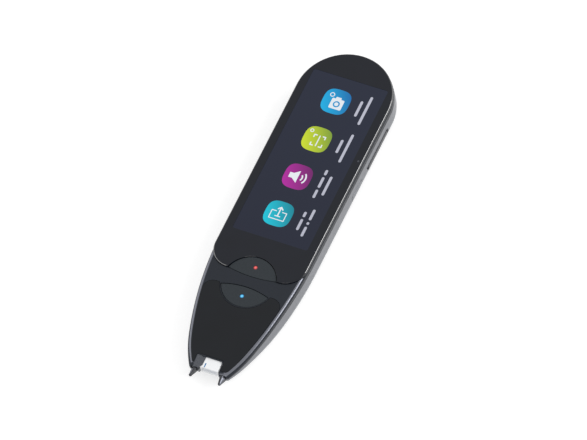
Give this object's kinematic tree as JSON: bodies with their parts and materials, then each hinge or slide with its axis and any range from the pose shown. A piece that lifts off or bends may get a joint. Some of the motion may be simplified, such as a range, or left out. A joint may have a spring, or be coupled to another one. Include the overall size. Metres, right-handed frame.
{
  "type": "handheld text scanning pen",
  "caption": "Handheld text scanning pen with a full-length touch display, press buttons, side keys, a white scanning hood and a guide fork that slides in as it is pressed on the page.",
  "frame": {"origin": "middle of the pen's width and length, on the flat of its back", "axes": "+Y along the pen towards its round end, away from the scanning nose; +Z out of the screen; +X to the right as the screen is seen with the round end up"},
  "size_m": [0.0385, 0.145, 0.0125],
  "materials": {
    "frame_coat": "dark blue-grey satin coat",
    "cover_coat": "satin grey metallic coat",
    "cover_glass": "clear, polished, black print on the back outside the display",
    "pad_rubber": "fine matte",
    "tape": "black foam tape",
    "gloss_panel": "polished black",
    "button_plastic": "satin dark grey",
    "red_light": "lit from behind",
    "blue_light": "lit from behind",
    "dark_plastic": "fine matte",
    "white_plastic": "satin white",
    "blue_print": "printed blue",
    "clear_plastic": "clear",
    "board": "green solder mask",
    "chips": "black moulding compound",
    "shield": "stamped sheet",
    "steel": "bare",
    "flex": "amber film",
    "display": "dark screen",
    "backlight": "white film stack in a tray",
    "cell": "grey laminated pouch",
    "speaker_body": "black moulding",
    "foam": "foam ring",
    "lens": "coated lens",
    "led": "white chip"
  },
  "bodies": {
    "housing": {"front_frame": "frame_coat", "rear_cover": "cover_coat", "rest_pads": "pad_rubber", "cover_glass": "cover_glass", "glass_tape": "tape", "lower_panel": "gloss_panel", "button_switches": "steel", "indicator_leds": "led", "side_key_board": "board", "side_key_switches": "steel", "side_key_flex": "flex", "fork_switch": "chips", "fork_springs": "steel", "scan_hood": "white_plastic", "index_mark": "blue_print", "scan_window": "clear_plastic", "scan_board": "board", "scan_lamps": "led", "scan_camera": "chips", "scan_lens": "lens", "scan_flex": "flex", "display_panel": "display", "display_backlight": "backlight", "display_flex": "flex", "main_board": "board", "processor": "chips", "shield_can": "shield", "board_parts": "chips", "board_screws": "steel", "battery": "cell", "battery_tape": "white_plastic", "battery_lead": "flex", "speaker": "speaker_body", "speaker_gasket": "foam", "rear_camera": "chips", "rear_camera_window": "lens", "usb_board": "board", "usb_socket": "steel", "microphone": "steel", "board_link_flex": "flex", "antenna": "flex"},
    "upper_button": {"upper_button": "button_plastic", "red_light_window": "red_light"},
    "lower_button": {"lower_button": "button_plastic", "blue_light_window": "blue_light"},
    "volume_key": {"volume_key": "dark_plastic"},
    "power_key": {"power_key": "cover_coat"},
    "guide_fork": {"guide_fork": "dark_plastic"}
  },
  "joints": [
    {"name": "upper_button_press", "type": "slide", "parent": "housing", "child": "upper_button", "axis": [0, 0, -1], "range_m": [0, 0.0003], "stiffness_N_per_m": 2000},
    {"name": "lower_button_press", "type": "slide", "parent": "housing", "child": "lower_button", "axis": [0, 0, -1], "range_m": [0, 0.0003], "stiffness_N_per_m": 2000},
    {"name": "volume_key_rock", "type": "hinge", "parent": "housing", "child": "volume_key", "pos_m": [0.0167, 0.0407, 0.0048], "axis": [0, 0, 1], "range_deg": [-1.5, 1.5], "stiffness_Nm_per_rad": 0.05},
    {"name": "power_key_press", "type": "slide", "parent": "housing", "child": "power_key", "axis": [-1, 0, 0], "range_m": [0, 0.0003], "stiffness_N_per_m": 2000},
    {"name": "guide_fork_press", "type": "slide", "parent": "housing", "child": "guide_fork", "axis": [0, 1, 0], "range_m": [0, 0.0008], "stiffness_N_per_m": 600, "springref_m": -0.0005, "deforming": ["fork_springs"]}
  ]
}
